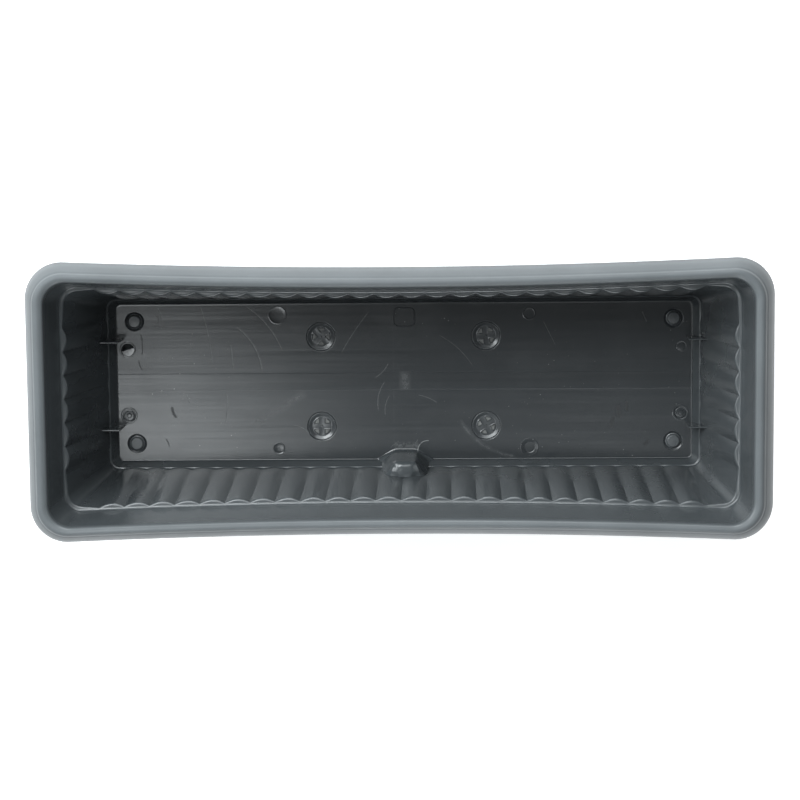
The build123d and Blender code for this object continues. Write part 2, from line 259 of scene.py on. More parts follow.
def skin(stations):
    """Points and faces of the surface through all stations."""
    outlines = [outline(at) for at in stations]
    points = [point for loop in outlines for point in loop]
    return points, band_faces(len(outlines), len(outlines[0]))


# ---------------------------------------------------------------- plates with round features

def plate(boundary, features, holes):
    """Triangulated sheet inside boundary. A feature is a list of closed loops of points, from the
    outside in, each at its own height. Holes are (x, y, radius) and stay open."""
    points, edges = [], []
    for loop in [boundary] + [loop for feature in features for loop in feature]:
        base = len(points)
        points += loop
        edges += [(base + i, base + (i + 1) % len(loop)) for i in range(len(loop))]
    flat = [Vector(point[:2]) for point in points]
    made, _, triangles, origins, _, _ = delaunay_2d_cdt(flat, edges, [], 1, 1e-6)
    heights = [points[source[0]][2] if source else points[0][2] for source in origins]
    sheet = [(point.x, point.y, z) for point, z in zip(made, heights)]
    kept = []
    for triangle in triangles:
        x = sum(sheet[i][0] for i in triangle) / 3
        y = sum(sheet[i][1] for i in triangle) / 3
        if all(math.hypot(x - hx, y - hy) > radius * 0.995 for hx, hy, radius in holes):
            kept.append(triangle)
    return sheet, kept


def rings(x, y, profile, count=40):
    """A round feature: circles of (radius, height), from the outside in, with a level one round it."""
    level_ring = (profile[0][0] + 0.15, profile[0][1])
    return [circle(radius, x, y, z, count) for radius, z in [level_ring] + profile]


def bridge(x, y, radius, top, bottom, count=40):
    """Wall of a round hole between two plates."""
    return circle(radius, x, y, top, count) + circle(radius, x, y, bottom, count), band_faces(2, count)


# ---------------------------------------------------------------- planter box

WALL = 2.2
BOW = 5.8
UNDER = -FLOOR_THICKNESS
WELL_DEPTH = 2.8
BOSS_BOTTOM = -6.4
PIN_HOLE = 3.56
PLUG_SEAT_DEPTH = 1.4
PLUG_HOLE = 9.1
DRAIN_X, DRAIN_Y = 238.3, 28.6
DRAIN_RADIUS = 5.4
DIMPLE_X, DIMPLE_Y = 108.3, 57.9
HOOD_Y = -77.5
HOOD_HEIGHT = 48.0
FOOT_FLARE, FLARE_HEIGHT = 4.5, 5.0
PLINTH_HEIGHT, WALL_HEIGHT = 12.2, 106.3
FLOOR_HALF_WIDTH, PLINTH_SPREAD = 68.4, 4.9
WALL_HALF_WIDTH, WALL_SPREAD = 73.3, 15.3
FLUTES_LOW, FLUTES_HIGH = 12.3, 118.4
FIN_Y, FIN_X, FIN_HEIGHT = 37.6, 242.5, 30.0


def box_path():
    """Profile of the box from its floor's edge, up the inside, over the rim and down the outside."""
    fluted_top = dict(bow=BOW, ridge=1.6, depth=3.2)
    fluted_low = dict(ridge=0.3, depth=0.9, side_run=243.6, end_run=57.6)
    plinth_run = dict(side_run=239.0, end_run=56.0)
    path = [
        (station(246.0, 66.1, 0.0, radius=3.2, **plinth_run), 0),
        (station(248.3, 68.4, 0.0, radius=5.0, **plinth_run), 1.5),
        (station(252.8, 72.1, 12.0, radius=7.4, **plinth_run), 0.6),
        (station(254.1, 73.4, FLUTES_LOW, radius=8.2, **fluted_low), 0.7),
        (station(272.9, 88.6, FLUTES_HIGH, radius=11.4, **fluted_top), 1.3),
        (station(276.5, 92.2, 118.9, bow=BOW, radius=15.0), 1.5),
        (station(282.6, 98.7, 162.4, bow=BOW, radius=18.6), 1.8),
        (station(286.6, 102.2, RIM_TOP, bow=BOW, radius=21.4), 2.2),
        (station(290.4, 105.2, 163.8, bow=BOW, radius=24.2), 1.9),
        (station(291.6, 106.2, 159.9, bow=BOW, radius=25.0), 1.0),
        (station(292.9, 107.4, 158.7, bow=BOW, radius=25.9), 1.0),
        (station(296.7, 110.9, 152.4, bow=BOW, radius=27.6), 4.0),
        (station(300.0, 113.9, 142.0, bow=BOW, radius=30.0), 1.0),
        (station(299.8, 113.7, 140.4, bow=BOW, radius=30.0), 0.6),
        (station(298.0, 111.9, 140.0, bow=BOW, radius=28.6), 0.6),
        (station(296.4, 110.3, 144.2, bow=BOW, radius=27.6), 1.0),
        (station(293.4, 107.3, 152.6, bow=BOW, radius=25.6), 3.0),
        (station(290.0, 104.4, 156.8, bow=BOW, radius=23.4), 1.6),
        (station(284.8, 101.0, 157.6, bow=BOW, radius=20.6), 1.0),
        (station(278.7, 94.4, 116.2, bow=BOW, radius=17.2), 0.8),
        (station(275.1, 90.8, 115.8, radius=13.6, **fluted_top), 0.7),
        (station(256.3, 75.6, 12.6, radius=10.4, **fluted_low), 0.8),
        (station(255.0, 74.4, 11.8, radius=9.6, side_run=242.0, end_run=57.0), 0.4),
        (station(249.4, 69.5, UNDER, radius=7.2, **plinth_run), 1.0),
        (station(246.0, 66.1, UNDER, radius=3.2, **plinth_run), 0),
    ]
    return rounded_stations(path, 4)


# Rings of each dimple in the floor: (radius, height), from the outside in
DIMPLES = {
    "back_left": [(8.0, 0.0), (7.6, 0.06), (7.2, 0.06), (6.7, -0.02), (6.0, -0.09), (4.8, -0.12),
                  (3.4, -0.14), (0.6, -0.15)],
    "back_right": [(5.7, 0.0), (5.4, 0.14), (5.1, 0.12), (4.7, -0.34), (4.3, -0.42), (1.0, -0.42)],
    "front_left": [(5.2, 0.0), (4.9, 0.1), (4.6, 0.0), (4.2, -0.16), (2.4, -0.26), (0.6, -0.28)],
    "front_right": [(8.0, 0.0), (7.7, 0.14), (7.3, 0.14), (6.9, 0.0), (5.2, -0.04), (4.8, -0.3),
                    (4.4, -0.38), (1.0, -0.38)],
}


def drain_profile(kind):
    """Ring profile of a knock-out: clean, rough, or the collar round the broken one."""
    if kind == "clean":
        return [(4.7, 0.0), (4.3, -0.14), (3.9, -0.12), (3.6, 0.04), (0.8, 0.05)]
    collar = [(7.2, 0.0), (6.8, 0.14), (5.9, 0.14), (5.5, 0.0)]
    if kind == "broken":
        return collar + [(DRAIN_RADIUS, -0.3)]
    groove = [(5.3, -0.85), (4.7, -0.9), (4.5, -0.1), (4.2, 0.06)]
    return collar + groove + [(2.4, 0.1), (2.0, 0.5), (1.2, 0.6)]


def floor_features():
    """Wells, seats, drains, dimples and an insert's outline in the floor, and the holes that go through."""
    features, holes = [], []
    for corner in CORNERS:
        x, y = node_centre(f"locking_pin_{corner}")
        sign_x, sign_y = math.copysign(1, x), math.copysign(1, y)
        features.append(rings(x, y, [(8.5, 0.0), (8.2, -0.07), (7.98, -0.3), (7.9, -0.7),
                                     (7.9, -WELL_DEPTH), (PIN_HOLE, -WELL_DEPTH)], 48))
        holes.append((x, y, PIN_HOLE))
        plug_x, plug_y = node_centre(f"wick_plug_{corner}")
        features.append(rings(plug_x, plug_y, [(12.9, 0.0), (12.45, -0.1), (12.2, -0.35),
                                               (12.15, -PLUG_SEAT_DEPTH),
                                               (PLUG_HOLE, -PLUG_SEAT_DEPTH)], 56))
        holes.append((plug_x, plug_y, PLUG_HOLE))
        kind = {"back_left": "broken", "back_right": "clean"}.get(corner, "rough")
        drain_x, drain_y = sign_x * DRAIN_X, sign_y * DRAIN_Y
        features.append(rings(drain_x, drain_y, drain_profile(kind), 40))
        if kind == "broken":
            holes.append((drain_x, drain_y, DRAIN_RADIUS))
        features.append(rings(sign_x * DIMPLE_X, sign_y * DIMPLE_Y, DIMPLES[corner], 40))
    return features + [insert_outline(0.8, 55.4, 9.6, 8.6, 0.35)], holes


def insert_outline(x, y, half_length, half_width, height):
    """Faint raised outline left by an insert in the mould."""
    return [rounded_rectangle(x, y, half_length - inset, half_width - inset, 5.0 - inset, z)
            for inset, z in ((0.0, 0.0), (0.35, height), (0.8, height), (1.15, 0.0))]


def rounded_rectangle(x, y, half_length, half_width, radius, z, steps=8):
    """Closed loop of points round a rounded rectangle."""
    loop = []
    corners = ((1, -1, -90), (1, 1, 0), (-1, 1, 90), (-1, -1, 180))
    for sign_x, sign_y, start in corners:
        for i in range(steps + 1):
            a = math.radians(start + 90 * i / steps)
            loop.append((x + sign_x * (half_length - radius) + radius * math.cos(a),
                         y + sign_y * (half_width - radius) + radius * math.sin(a), z))
    return loop


def wall_line(z):
    """Plain inner half width of the box at a height, without its bow."""
    if z < PLINTH_HEIGHT:
        return FLOOR_HALF_WIDTH + PLINTH_SPREAD * z / PLINTH_HEIGHT
    return WALL_HALF_WIDTH + WALL_SPREAD * (z - PLINTH_HEIGHT) / WALL_HEIGHT


def end_line(z):
    """Plain inner half length of the box at a height."""
    if z < PLINTH_HEIGHT:
        return wall_line(z) + 179.9
    return wall_line(z) + 180.7 + 3.6 * (z - PLINTH_HEIGHT) / WALL_HEIGHT


def hood_solid():
    """Hump that grows out of the front wall: a low flared foot, a steep back, then wide flat chamfers
    round a small flat top. Each section is (height, middle, half width, half width at the back, back,
    front); where front is None the section ends inside the wall."""
    sections = [(-1.4, 1.0, 20.8, 9.5, -58.6, None), (0.02, 1.0, 20.6, 9.4, -58.6, None),
                (0.2, 1.0, 20.4, 9.1, -59.4, None), (0.7, 1.0, 20.2, 8.9, -60.1, None),
                (1.7, 1.0, 20.1, 8.9, -60.6, None), (6.0, 1.0, 20.2, 9.4, -61.2, None),
                (22.0, 1.2, 19.6, 9.8, -62.2, None), (38.0, 1.5, 17.6, 9.6, -63.0, None),
                (43.0, 1.8, 15.0, 9.2, -63.2, None), (44.6, 1.9, 13.2, 8.8, -63.4, None),
                (45.6, 2.0, 11.6, 8.4, -63.8, -77.4), (47.4, 2.0, 7.6, 6.2, -65.4, -76.2),
                (47.75, 2.0, 6.0, 4.9, -67.0, -74.9), (48.0, 2.0, 4.4, 3.6, -68.4, -73.4),
                (48.0, 2.0, 1.4, 1.0, -70.2, -71.6)]
    points = []
    for z, middle, half, back_half, back, front in sections:
        if front is None:
            lean = BOW * max(z - FLUTES_LOW, 0) / (FLUTES_HIGH - FLUTES_LOW)
            front = lean - wall_line(max(z, 0)) - 0.9
            front_half, side = half, front + 1.5
        else:
            front_half, side = 0.55 * half, front + 0.42 * (back - front)
        flare = FOOT_FLARE * max(0.0, 1 - abs(z) / FLARE_HEIGHT) ** 2
        right = [(front_half + flare, front), (half + flare, side), (half - 0.3 * flare, side + 0.8 * flare),
                 (back_half, back)]
        corners = [(middle + x, y) for x, y in right] + [(middle - x, y) for x, y in reversed(right)]
        points += [(x, y, z) for x, y in softened(corners, 3.0, 5)]
    count = len(points) // len(sections)
    return points, band_faces(len(sections), count) + end_faces(len(sections), count)


def hood_pocket():
    """The space under the hood, open downwards and to the front, shallower than it is wide."""
    profile = [(15.6, -9.0), (14.2, 3.0), (12.4, 30.0), (8.0, 41.0), (0.5, HOOD_HEIGHT - WALL)]
    points, faces = revolved(softened(profile, 2.4, 4), 0, 0, 64)
    return [(x, HOOD_Y + 0.97 * y, z) for x, y, z in points], faces


def fin_solid(sign_x, sign_y):
    """Thin upright fin between the floor and an end wall, a little thinner at its top."""
    points = []
    for z, half, inset in ((-1.0, 0.85, 0.0), (FIN_HEIGHT - 0.4, 0.65, 0.0), (FIN_HEIGHT, 0.4, 0.35)):
        outer = end_line(max(z, 0)) + 1.1
        for x, y in ((FIN_X + inset, -half), (outer, -half), (outer, half), (FIN_X + inset, half)):
            points.append((sign_x * x, sign_y * FIN_Y + y, z))
    return points, [(0, 1, 2, 3), (8, 9, 10, 11)] + band_faces(3, 4)


def torn_web():
    """Half of the broken knock-out, bent down on its torn edge."""
    x, y = -DRAIN_X, DRAIN_Y
    turn, drop = math.radians(17), math.radians(13)
    count, radius, thick = 24, DRAIN_RADIUS + 0.15, 0.9
    points = []
    for side in (0.0, -thick):
        for i in range(count):
            a = math.pi + math.pi * i / (count - 1)
            across, along = radius * math.cos(a), radius * math.sin(a)
            ragged = 0.16 * math.sin(i * 2.1) if i in (0, count - 1) else 0.0
            sink = (along + radius) * math.tan(drop)
            points.append((x + across * math.cos(turn) - along * math.sin(turn),
                           y + across * math.sin(turn) + along * math.cos(turn) + ragged,
                           side - 0.5 - sink * 0.8))
    return points, [list(range(count)), [count + i for i in range(count)][::-1]] + band_faces(2, count)


def planter_box():
    """The whole moulding as one mesh."""
    stations = box_path()
    features, holes = floor_features()
    top = plate(outline(stations[0]), features, holes)
    under_features = []
    for corner in CORNERS:
        x, y = node_centre(f"locking_pin_{corner}")
        under_features.append(rings(x, y, [(9.9, UNDER), (9.7, BOSS_BOTTOM + 0.4), (9.3, BOSS_BOTTOM),
                                           (PIN_HOLE, BOSS_BOTTOM)], 48))
        plug_x, plug_y = node_centre(f"wick_plug_{corner}")
        under_features.append(rings(plug_x, plug_y, [(PLUG_HOLE, UNDER)], 56))
    under_features.append(rings(-DRAIN_X, DRAIN_Y, [(DRAIN_RADIUS, UNDER)], 40))
    under = plate(outline(stations[-1]), under_features, holes)
    walls = []
    for x, y, radius in holes:
        top_edge, bottom_edge, count = {
            PIN_HOLE: (-WELL_DEPTH, BOSS_BOTTOM, 48),
            PLUG_HOLE: (-PLUG_SEAT_DEPTH, UNDER, 56),
            DRAIN_RADIUS: (-0.3, UNDER, 40),
        }[radius]
        walls.append(bridge(x, y, radius, top_edge, bottom_edge, count))
    box = make_object("planter_box_moulding", *merged([skin(stations), top, under] + walls))
    fins = [fin_solid(sign_x, sign_y) for sign_x in (-1, 1) for sign_y in (-1, 1)]
    boolean(box, make_object("added", *merged([hood_solid(), torn_web()] + fins)), "UNION")
    boolean(box, make_object("pocket", *hood_pocket()), "DIFFERENCE")
    return box


# ---------------------------------------------------------------- water tray

GROUND = -FLOOR_Z
TRAY_BASE = 2.2
TRAY_TOP = GROUND + 40.0
SPOUT_Y, SPOUT_TOP = -69.0, GROUND + 50.0
SUPPORT_XS = (-150.0, 0.0, 150.0)
SUPPORT_REACH, SUPPORT_HALF = 18.0, 1.2
OVERFLOW_RADIUS, OVERFLOW_Y, OVERFLOW_Z = 3.0, 30.0, GROUND + 22.0
TINY_GAP = 0.02


def tray_path():
    """Profile of the tray from its inner floor, up, over the lip and down the outside."""
    inner, outer = dict(side_run=230.0, end_run=52.0), dict(side_run=232.0, end_run=54.0)
    path = [
        (station(244.0, 63.5, GROUND + TRAY_BASE, radius=8.0, **inner), 0),
        (station(248.5, 68.0, GROUND + TRAY_BASE, radius=10.3, **inner), 2.0),
        (station(257.0, 76.5, TRAY_TOP, radius=11.8, **inner), 0.7),
        (station(260.8, 80.3, TRAY_TOP, radius=15.6, **outer), 0.8),
        (station(260.2, 79.7, TRAY_TOP - 2.4, radius=15.0, **outer), 0.5),
        (station(258.7, 78.2, TRAY_TOP - 2.6, radius=13.9, **outer), 0.4),
        (station(250.2, 69.7, GROUND, radius=12.0, **outer), 2.0),
        (station(246.0, 65.5, GROUND, radius=9.0, **outer), 0),
    ]
    return rounded_stations(path)


def cross_support(x):
    """Crossed ribs that carry the box's floor."""
    low, high = GROUND + 1.0, UNDER - TINY_GAP
    return [block((x - half_x, -half_y, low), (x + half_x, half_y, high))
            for half_x, half_y in ((SUPPORT_REACH, SUPPORT_HALF), (SUPPORT_HALF, SUPPORT_REACH))]


def filling_spout():
    """Front part of a round spout; its back is cut away, and further forward above the tray's rim."""
    profile = [(17.2, GROUND), (18.0, GROUND + 0.8), (18.0, SPOUT_TOP - 0.8), (17.2, SPOUT_TOP)]
    spout = make_object("spout", *revolved(profile, 0, SPOUT_Y, 64))
    for front, low in ((-79.6, TRAY_TOP), (-76.0, GROUND - 5)):
        boolean(spout, make_object("cut", *block((-30, front, low), (30, -40, GROUND + 60))), "DIFFERENCE")
    return spout


def water_tray():
    """The tray as one mesh, with posts, supports, filling spout and overflow holes."""
    stations = tray_path()
    floor = plate(outline(stations[0]), [], [])
    base = plate(outline(stations[-1]), [], [])
    tray = make_object("water_tray_moulding", *merged([skin(stations), floor, base]))

    boolean(tray, filling_spout(), "UNION")
    bore = [(14.5, GROUND + TRAY_BASE), (16.0, GROUND + TRAY_BASE + 1.5), (16.0, SPOUT_TOP + 5.0)]
    boolean(tray, make_object("bore", *revolved(bore, 0, SPOUT_Y, 64)), "DIFFERENCE")
    for x in SUPPORT_XS:
        for rib in cross_support(x):
            boolean(tray, make_object("rib", *rib), "UNION")
    posts, bores = [], []
    for corner in CORNERS:
        x, y = node_centre(f"locking_pin_{corner}")
        posts.append(revolved([(7.6, GROUND + 1.0), (7.4, GROUND + TRAY_BASE + 0.4), (6.95, GROUND + 4.0),
                               (6.9, BOSS_BOTTOM - 0.5), (6.5, BOSS_BOTTOM - TINY_GAP)], x, y, 40))
        bores.append(revolved([(PIN_HOLE, GROUND + 5.0), (PIN_HOLE, BOSS_BOTTOM + 3)], x, y, 40))
    boolean(tray, make_object("posts", *merged(posts)), "UNION")
    boolean(tray, make_object("bores", *merged(bores)), "DIFFERENCE")
    points, faces = revolved([(OVERFLOW_RADIUS, -280.0), (OVERFLOW_RADIUS, 280.0)], 0, 0, 32)
    points = [(z, OVERFLOW_Y + y, OVERFLOW_Z + x) for x, y, z in points]
    boolean(tray, make_object("overflow", points, faces), "DIFFERENCE")
    return tray


# ---------------------------------------------------------------- small parts

def locking_pin(corner):
    """Push pin with a chamfered head, a flange and a split shank."""
    x, y = node_centre(f"locking_pin_{corner}")
    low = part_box(f"locking_pin_{corner}")[0].z / MM - FLOOR_Z
    flange = TINY_GAP - WELL_DEPTH
    profile = [(2.5, low), (3.45, low + 1.2), (3.48, flange), (7.5, flange), (7.5, flange + 1.18),
               (5.8, flange + 1.68), (5.6, 0.9), (4.7, 1.75), (0.4, 1.98)]
    profile = softened(profile, [0.3, 0.3, 0.12, 0.25, 0.3, 0.3, 0.35], 3)
    pin = make_object(f"pin_{corner}", *revolved(profile, x, y, 48), smooth_angle=40)
    split = block((x - 0.6, y - 6, low - 1), (x + 0.6, y + 6, low + 12))
    boolean(pin, make_object("split", *split), "DIFFERENCE", 40)
    return pin


PLUG_TURNS = {"back_left": 45, "back_right": 8, "front_left": 0, "front_right": 30}
PLUG_COUNT = 56
PLUG_DISC, TUBE_BORE = 8.6, 7.6


def quarter_slot(quarter, turn, inset, z):
    """Loop round one of the four slots: a quarter of a disc with its point towards the middle."""
    near, far, bulge = 2.8 + inset, 6.1 - inset, 7.3 - inset
    arc = [math.radians(15 + 10 * i) for i in range(1, 6)]
    corners = [(near, near), (far, near)] + [(bulge * math.cos(a), bulge * math.sin(a)) for a in arc]
    corners.append((near, far))
    a = math.radians(90 * quarter + turn)
    return [(px * math.cos(a) - py * math.sin(a), px * math.sin(a) + py * math.cos(a), z)
            for px, py in corners]


def wick_plug(corner):
    """Sieve plug: flange with a soft edge, four slots with raised lips round a cross, tube below."""
    x, y = node_centre(f"wick_plug_{corner}")
    turn = PLUG_TURNS[corner]
    seat = -PLUG_SEAT_DEPTH
    brim = seat + 1.2
    face = brim - 0.85
    slots_top, slots_low, walls = [], [], []
    for quarter in range(4):
        lip = [quarter_slot(quarter, turn, inset, z) for inset, z in
               ((-1.2, face), (-0.9, face + 0.2), (-0.5, face + 0.38), (-0.2, face + 0.3), (0.0, face - 0.1))]
        under = quarter_slot(quarter, turn, 0.0, seat)
        slots_top.append(lip)
        slots_low.append([under])
        walls.append((lip[-1] + under, band_faces(2, len(under))))
    nub = rings(0, 0, [(0.9, face), (0.6, face + 0.3), (0.3, face + 0.32)], 12)
    top_edge = circle(PLUG_DISC, 0, 0, face, PLUG_COUNT)
    low_edge = circle(TUBE_BORE, 0, 0, seat, PLUG_COUNT)
    inner_top = without_slots(plate(top_edge, slots_top + [nub], []), turn)
    inner_low = without_slots(plate(low_edge, slots_low, []), turn)
    profile = [(PLUG_DISC, face), (8.9, face + 0.04), (11.2, brim - 0.1), (11.5, brim), (11.8, brim - 0.04),
               (11.98, brim - 0.2), (12.0, seat + 0.15), (11.85, seat), (9.0, seat),
               (9.0, seat - 8.2), (8.7, seat - 8.6), (7.9, seat - 8.6),
               (TUBE_BORE, seat - 8.3), (TUBE_BORE, seat)]
    body = [point for radius, z in profile for point in circle(radius, 0, 0, z, PLUG_COUNT)]
    points, faces = merged([inner_top, inner_low, (body, band_faces(len(profile), PLUG_COUNT))] + walls)
    points = [(px + x, py + y, z) for px, py, z in points]
    return make_object(f"plug_{corner}", points, faces, smooth_angle=40)


def without_slots(sheet, turn):
    """Drops the triangles that lie inside the four slots."""
    points, triangles = sheet
    loops = [quarter_slot(quarter, turn, 0.0, 0.0) for quarter in range(4)]
    kept = []
    for triangle in triangles:
        px = sum(points[i][0] for i in triangle) / 3
        py = sum(points[i][1] for i in triangle) / 3
        if not any(inside_loop(px, py, loop) for loop in loops):
            kept.append(triangle)
    return points, kept


def inside_loop(x, y, loop):
    """True if a point lies inside a closed loop."""
    inside = False
    for (ax, ay, _), (bx, by, _) in zip(loop, loop[1:] + loop[:1]):
        if (ay > y) != (by > y) and x < ax + (bx - ax) * (y - ay) / (by - ay):
            inside = not inside
    return inside


WICK_RADIUS, TAIL_RADIUS, WICK_HEAD = 7.45, 4.45, 7.4


def wick_rod(corner, seed):
    """Bonded-fibre rod with a felted, slightly uneven surface."""
    x, y = node_centre(f"wick_rod_{corner}")
    low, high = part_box(f"wick_rod_{corner}")
    bottom, top = low.z / MM - FLOOR_Z, high.z / MM - FLOOR_Z
    step = top - WICK_HEAD
    profile = [(0.3, bottom + 0.4), (3.4, bottom), (TAIL_RADIUS, bottom + 0.9)]
    profile += [(TAIL_RADIUS, bottom + 0.9 + (step - bottom - 1.4) * i / 14) for i in range(1, 15)]
    profile += [(7.0, step), (WICK_RADIUS, step + 0.5)]
    profile += [(WICK_RADIUS, step + 0.5 + (top - step - 1.0) * i / 6) for i in range(1, 7)]
    profile += [(6.9, top), (3.0, top - 0.1), (0.3, top - 0.1)]
    points, faces = revolved(profile, x, y, 64)
    chance = np.random.default_rng(seed)
    fuzzy = np.array(points)
    pull = 1 - np.abs(chance.normal(0, 0.012, len(fuzzy)))
    fuzzy[:, 0] = x + (fuzzy[:, 0] - x) * pull
    fuzzy[:, 1] = y + (fuzzy[:, 1] - y) * pull
    return make_object(f"wick_{corner}", fuzzy, faces, smooth_angle=70)


# ---------------------------------------------------------------- materials

class Shader:
    """Small helper round a material's node tree."""

    def __init__(self, name, base, roughness, specular=0.5):
        self.material = bpy.data.materials.new(name)
        self.material.use_nodes = True
        self.tree = self.material.node_tree
        self.surface = self.tree.nodes["Principled BSDF"]
        self.surface.inputs["Base Color"].default_value = (*base, 1)
        self.surface.inputs["Roughness"].default_value = roughness
        self.surface.inputs["Specular IOR Level"].default_value = specular
        self.coords = self.node("ShaderNodeTexCoord").outputs["Object"]

    def node(self, kind, **settings):
        made = self.tree.nodes.new(kind)
        for key, value in settings.items():
            setattr(made, key, value)
        return made

    def link(self, out, into):
        self.tree.links.new(out, into)

    def stretched(self, scale):
        """Object coordinates, scaled."""
        mapping = self.node("ShaderNodeMapping")
        mapping.inputs["Scale"].default_value = scale
        self.link(self.coords, mapping.inputs["Vector"])
        return mapping.outputs["Vector"]

    def noise(self, scale, detail=4.0, vector=None, roughness=0.55):
        made = self.node("ShaderNodeTexNoise")
        made.inputs["Scale"].default_value = scale
        made.inputs["Detail"].default_value = detail
        made.inputs["Roughness"].default_value = roughness
        self.link(vector or self.coords, made.inputs["Vector"])
        return made.outputs["Fac"]

    def ramp(self, value, stops):
        """Colour ramp over grey values: stops are (place, value)."""
        made = self.node("ShaderNodeValToRGB")
        ramp = made.color_ramp
        for i, (place, level) in enumerate(stops):
            stop = ramp.elements[i] if i < 2 else ramp.elements.new(place)
            stop.position = place
            stop.color = (level, level, level, 1)
        self.link(value, made.inputs["Fac"])
        return made.outputs["Color"]

    def math(self, operation, a, b=0.0, clamp=False):
        made = self.node("ShaderNodeMath", operation=operation, use_clamp=clamp)
        for socket, value in zip(made.inputs, (a, b)):
            if isinstance(value, (int, float)):
                socket.default_value = value
            else:
                self.link(value, socket)
        return made.outputs["Value"]

    def along(self, direction, start, unit):
        """Distance from start along a direction in plan, counted in units; all in millimetres."""
        made = self.node("ShaderNodeVectorMath", operation="DOT_PRODUCT")
        made.inputs[1].default_value = (direction[0] / unit / MM, direction[1] / unit / MM, 0)
        self.link(self.coords, made.inputs[0])
        return self.math("SUBTRACT", made.outputs["Value"],
                         (direction[0] * start[0] + direction[1] * start[1]) / unit)

    def stroke(self, start, end, width, bend=0.0):
        """Soft tapered line on the floor, bowed sideways by bend; millimetres."""
        length = math.hypot(end[0] - start[0], end[1] - start[1])
        forward = ((end[0] - start[0]) / length, (end[1] - start[1]) / length)
        u = self.along(forward, start, length)
        v = self.along((-forward[1], forward[0]), start, width)
        arch = self.math("MULTIPLY", u, self.math("SUBTRACT", 1.0, u))
        bow = self.math("MULTIPLY", arch, 4 * bend / width)
        off_line = self.math("ABSOLUTE", self.math("SUBTRACT", v, bow))
        inside = self.math("SUBTRACT", 1.0, off_line, clamp=True)
        return self.math("MULTIPLY", inside, self.math("MULTIPLY", arch, 14.0, clamp=True))

    def strongest(self, masks):
        """The largest of several masks."""
        most = masks[0]
        for mask in masks[1:]:
            most = self.math("MAXIMUM", most, mask)
        return most

    def mix(self, factor, a, b):
        """Colour mix; a and b are colours or outputs."""
        made = self.node("ShaderNodeMix", data_type="RGBA")
        for socket, value in ((made.inputs["Factor"], factor), (made.inputs["A"], a), (made.inputs["B"], b)):
            if isinstance(value, tuple):
                socket.default_value = (*value, 1)
            elif isinstance(value, (int, float)):
                socket.default_value = value
            else:
                self.link(value, socket)
        return made.outputs["Result"]

    def bump(self, height, strength, distance, after=None):
        made = self.node("ShaderNodeBump")
        made.inputs["Strength"].default_value = strength
        made.inputs["Distance"].default_value = distance
        self.link(height, made.inputs["Height"])
        if after is not None:
            self.link(after, made.inputs["Normal"])
        return made.outputs["Normal"]


def moulded_plastic(name, base, roughness=0.4, specular=0.6):
    """Satin polypropylene: faint mottling, uneven gloss, dust in the pores and a fine skin."""
    s = Shader(name, base, roughness, specular)
    s.link(dusty_tone(s, base), s.surface.inputs["Base Color"])
    s.link(uneven_gloss(s, roughness), s.surface.inputs["Roughness"])
    s.link(moulded_skin(s), s.surface.inputs["Normal"])
    return s


def dusty_tone(s, base):
    """Base colour with slow mottling and small pale grains."""
    mottle = s.ramp(s.noise(22.0, 5.0), [(0.35, 0.0), (0.68, 1.0)])
    tone = s.mix(mottle, tuple(c * 0.94 for c in base), tuple(c * 1.06 for c in base))
    specks = s.ramp(s.noise(1400.0, 1.0), [(0.74, 0.0), (0.78, 1.0)])
    return s.mix(s.math("MULTIPLY", specks, 0.12), tone, (0.32, 0.33, 0.33))


def uneven_gloss(s, roughness):
    """Roughness that drifts a little from place to place."""
    return s.ramp(s.noise(9.0, 6.0), [(0.3, roughness - 0.04), (0.7, roughness + 0.06)])


def moulded_skin(s, strength=0.05):
    """Fine grain over long shallow waves."""
    grain = s.bump(s.noise(700.0, 1.0), strength, 0.0003)
    return s.bump(s.noise(11.0, 1.0), 0.10, 0.006, grain)


def inside_plastic(name, base, rim_base, rim_roughness):
    """The box's inner wall: glossy, its colour painted darker than the rim's as shade deep in the box, and
    like the rim towards the mouth.
    """
    roughness = 0.24
    s = Shader(name, base, roughness, 0.75)
    up = s.node("ShaderNodeSeparateXYZ")
    s.link(s.coords, up.inputs["Vector"])
    reach = 0.2
    height = s.math("DIVIDE", up.outputs["Z"], reach)
    # Painted shade: the wall keeps its darker colour below the mouth and takes the rim's colour near it.
    near_rim = s.ramp(height, [((FLOOR_Z + 157) * MM / reach, 0.0), ((FLOOR_Z + 164) * MM / reach, 1.0)])
    s.link(s.mix(near_rim, dusty_tone(s, base), dusty_tone(s, rim_base)), s.surface.inputs["Base Color"])
    s.link(s.mix(near_rim, uneven_gloss(s, roughness), uneven_gloss(s, rim_roughness)),
           s.surface.inputs["Roughness"])
    s.link(moulded_skin(s, 0.02), s.surface.inputs["Normal"])
    return s


# Marks on the floor: (start, end, width, sideways bend), in millimetres
HAIR_SCRATCHES = [
    ((-212, 65), (-208, 54), 0.7, 1.0), ((-175, 67), (-165, 16), 0.6, 1.5),
    ((-144, 48), (-122, 8), 1.0, 5.0), ((-136, 66), (-104, 26), 0.7, 4.0),
    ((-149, 33), (-147, 11), 0.7, 0.0), ((-188, -10), (-185, -18), 0.6, 0.0),
    ((-153, -10), (-155, -38), 0.5, 1.0), ((-29, 61), (-54, 24), 0.8, -1.0),
    ((-96, -38), (-82, -46), 0.5, 2.0), ((-13, 16), (-25, 3), 0.8, 1.5),
    ((-16, 0), (-22, -26), 0.8, -3.0), ((-12, -12), (-16, -30), 0.6, -2.0),
    ((12, -12), (29, -19), 0.8, 1.0), ((30, 40), (60, 12), 0.4, 3.0), ((120, 52), (131, 30), 0.4, 0.0),
]
BROAD_RUBS = [
    ((-84, -9), (-130, -37), 4.5, 0.0), ((48, -33), (84, -63), 2.6, -5.0), ((60, -50), (96, -66), 2.2, -3.0),
    ((1, 9), (1, -8), 6.0, 0.0),
]
